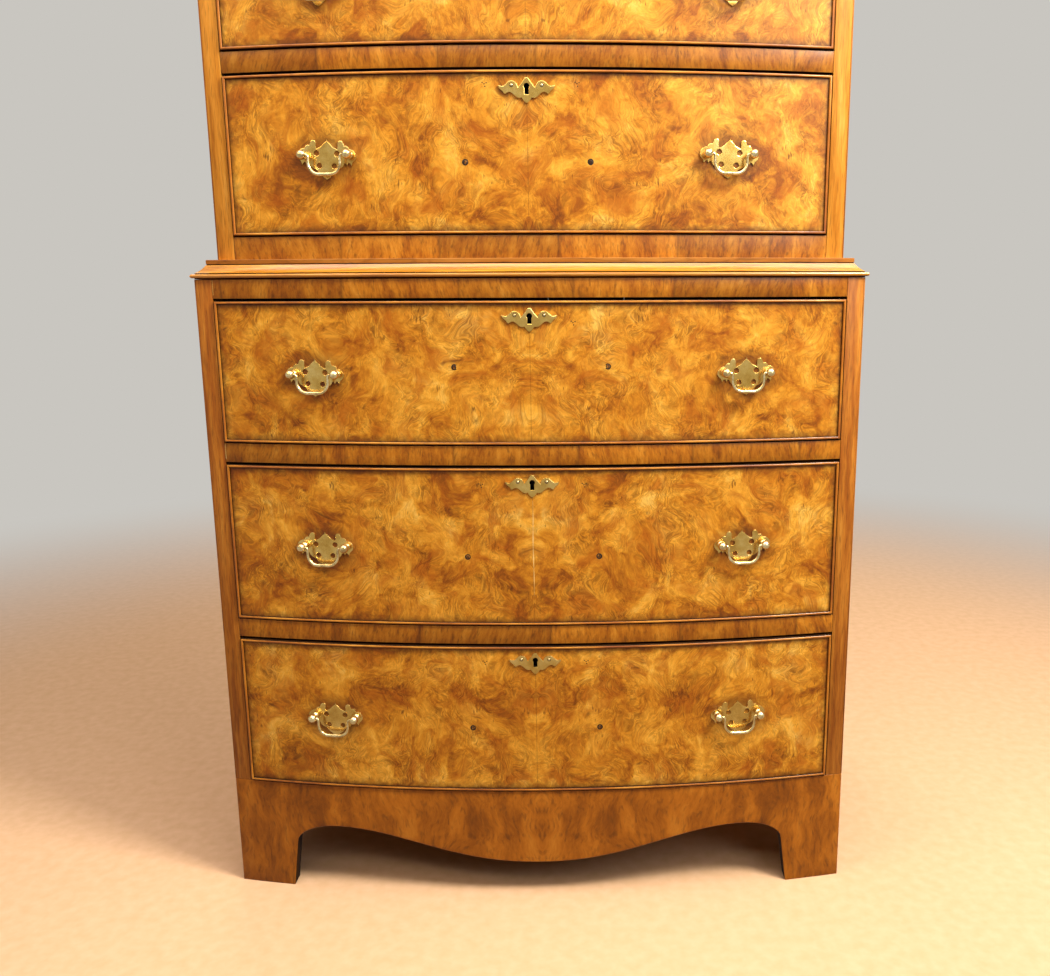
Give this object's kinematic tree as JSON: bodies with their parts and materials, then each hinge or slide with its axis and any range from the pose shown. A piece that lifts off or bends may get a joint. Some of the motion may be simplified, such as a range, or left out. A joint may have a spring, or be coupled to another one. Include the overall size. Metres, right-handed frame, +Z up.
{
  "type": "tall chest of drawers",
  "caption": "Bow-fronted burr walnut chest on chest with sliding drawers, swinging brass bail pulls, a waist moulding, a cornice and a shaped bracket base.",
  "frame": {"origin": "on the floor under the middle of the overall box", "axes": "+Z up, the front looks along -Y, +X to the right seen from the front"},
  "size_m": [0.808, 0.505, 1.4],
  "materials": {
    "burr_walnut": "polished figured veneer, golden brown",
    "walnut_case": "polished walnut veneer and solid walnut",
    "oak": "plain unpolished oak",
    "pine": "plain unpolished pine, darkened by age",
    "brass": "worn polished brass"
  },
  "bodies": {
    "carcase": {"bracket_base": "walnut_case", "lower_side_left": "walnut_case", "lower_side_right": "walnut_case", "lower_back": "pine", "lower_bottom_board": "pine", "lower_dust_board_1": "walnut_case", "lower_dust_board_2": "walnut_case", "lower_top_board": "walnut_case", "waist_moulding": "walnut_case", "upper_side_left": "walnut_case", "upper_side_right": "walnut_case", "upper_back": "pine", "upper_bottom_board": "walnut_case", "upper_dust_board_1": "walnut_case", "upper_dust_board_2": "walnut_case", "upper_top_board": "walnut_case", "cornice": "walnut_case"},
    "drawer_1": {"drawer_1_front": "burr_walnut", "drawer_1_box": "oak", "drawer_1_lock": "brass", "drawer_1_plate_left": "brass", "drawer_1_plate_right": "brass"},
    "drawer_1_bail_left": {"drawer_1_bail_left": "brass"},
    "drawer_1_bail_right": {"drawer_1_bail_right": "brass"},
    "drawer_2": {"drawer_2_front": "burr_walnut", "drawer_2_box": "oak", "drawer_2_lock": "brass", "drawer_2_plate_left": "brass", "drawer_2_plate_right": "brass"},
    "drawer_2_bail_left": {"drawer_2_bail_left": "brass"},
    "drawer_2_bail_right": {"drawer_2_bail_right": "brass"},
    "drawer_3": {"drawer_3_front": "burr_walnut", "drawer_3_box": "oak", "drawer_3_lock": "brass", "drawer_3_plate_left": "brass", "drawer_3_plate_right": "brass"},
    "drawer_3_bail_left": {"drawer_3_bail_left": "brass"},
    "drawer_3_bail_right": {"drawer_3_bail_right": "brass"},
    "drawer_4": {"drawer_4_front": "burr_walnut", "drawer_4_box": "oak", "drawer_4_lock": "brass", "drawer_4_plate_left": "brass", "drawer_4_plate_right": "brass"},
    "drawer_4_bail_left": {"drawer_4_bail_left": "brass"},
    "drawer_4_bail_right": {"drawer_4_bail_right": "brass"},
    "drawer_5": {"drawer_5_front": "burr_walnut", "drawer_5_box": "oak", "drawer_5_lock": "brass", "drawer_5_plate_left": "brass", "drawer_5_plate_right": "brass"},
    "drawer_5_bail_left": {"drawer_5_bail_left": "brass"},
    "drawer_5_bail_right": {"drawer_5_bail_right": "brass"},
    "drawer_6": {"drawer_6_front": "burr_walnut", "drawer_6_box": "oak", "drawer_6_lock": "brass", "drawer_6_plate_left": "brass", "drawer_6_plate_right": "brass"},
    "drawer_6_bail_left": {"drawer_6_bail_left": "brass"},
    "drawer_6_bail_right": {"drawer_6_bail_right": "brass"}
  },
  "joints": [
    {"name": "drawer_1_slide", "type": "slide", "parent": "carcase", "child": "drawer_1", "axis": [0, -1, 0], "range_m": [0, 0.32]},
    {"name": "drawer_1_bail_left_hinge", "type": "hinge", "parent": "drawer_1", "child": "drawer_1_bail_left", "pos_m": [-0.2573, -0.24258, 0.24475], "axis": [0.993, -0.1184, 0], "range_deg": [-160, 15]},
    {"name": "drawer_1_bail_right_hinge", "type": "hinge", "parent": "drawer_1", "child": "drawer_1_bail_right", "pos_m": [0.2573, -0.24258, 0.24475], "axis": [0.993, 0.1184, 0], "range_deg": [-160, 15]},
    {"name": "drawer_2_slide", "type": "slide", "parent": "carcase", "child": "drawer_2", "axis": [0, -1, 0], "range_m": [0, 0.32]},
    {"name": "drawer_2_bail_left_hinge", "type": "hinge", "parent": "drawer_2", "child": "drawer_2_bail_left", "pos_m": [-0.2573, -0.24258, 0.468], "axis": [0.993, -0.1184, 0], "range_deg": [-160, 15]},
    {"name": "drawer_2_bail_right_hinge", "type": "hinge", "parent": "drawer_2", "child": "drawer_2_bail_right", "pos_m": [0.2573, -0.24258, 0.468], "axis": [0.993, 0.1184, 0], "range_deg": [-160, 15]},
    {"name": "drawer_3_slide", "type": "slide", "parent": "carcase", "child": "drawer_3", "axis": [0, -1, 0], "range_m": [0, 0.32]},
    {"name": "drawer_3_bail_left_hinge", "type": "hinge", "parent": "drawer_3", "child": "drawer_3_bail_left", "pos_m": [-0.2573, -0.24258, 0.6785], "axis": [0.993, -0.1184, 0], "range_deg": [-160, 15]},
    {"name": "drawer_3_bail_right_hinge", "type": "hinge", "parent": "drawer_3", "child": "drawer_3_bail_right", "pos_m": [0.2573, -0.24258, 0.6785], "axis": [0.993, 0.1184, 0], "range_deg": [-160, 15]},
    {"name": "drawer_4_slide", "type": "slide", "parent": "carcase", "child": "drawer_4", "axis": [0, -1, 0], "range_m": [0, 0.3]},
    {"name": "drawer_4_bail_left_hinge", "type": "hinge", "parent": "drawer_4", "child": "drawer_4_bail_left", "pos_m": [-0.2343, -0.22232, 0.92875], "axis": [0.993, -0.1184, 0], "range_deg": [-160, 15]},
    {"name": "drawer_4_bail_right_hinge", "type": "hinge", "parent": "drawer_4", "child": "drawer_4_bail_right", "pos_m": [0.2343, -0.22232, 0.92875], "axis": [0.993, 0.1184, 0], "range_deg": [-160, 15]},
    {"name": "drawer_5_slide", "type": "slide", "parent": "carcase", "child": "drawer_5", "axis": [0, -1, 0], "range_m": [0, 0.3]},
    {"name": "drawer_5_bail_left_hinge", "type": "hinge", "parent": "drawer_5", "child": "drawer_5_bail_left", "pos_m": [-0.2343, -0.22232, 1.1155], "axis": [0.993, -0.1184, 0], "range_deg": [-160, 15]},
    {"name": "drawer_5_bail_right_hinge", "type": "hinge", "parent": "drawer_5", "child": "drawer_5_bail_right", "pos_m": [0.2343, -0.22232, 1.1155], "axis": [0.993, 0.1184, 0], "range_deg": [-160, 15]},
    {"name": "drawer_6_slide", "type": "slide", "parent": "carcase", "child": "drawer_6", "axis": [0, -1, 0], "range_m": [0, 0.3]},
    {"name": "drawer_6_bail_left_hinge", "type": "hinge", "parent": "drawer_6", "child": "drawer_6_bail_left", "pos_m": [-0.2343, -0.22232, 1.2715], "axis": [0.993, -0.1184, 0], "range_deg": [-160, 15]},
    {"name": "drawer_6_bail_right_hinge", "type": "hinge", "parent": "drawer_6", "child": "drawer_6_bail_right", "pos_m": [0.2343, -0.22232, 1.2715], "axis": [0.993, 0.1184, 0], "range_deg": [-160, 15]}
  ]
}
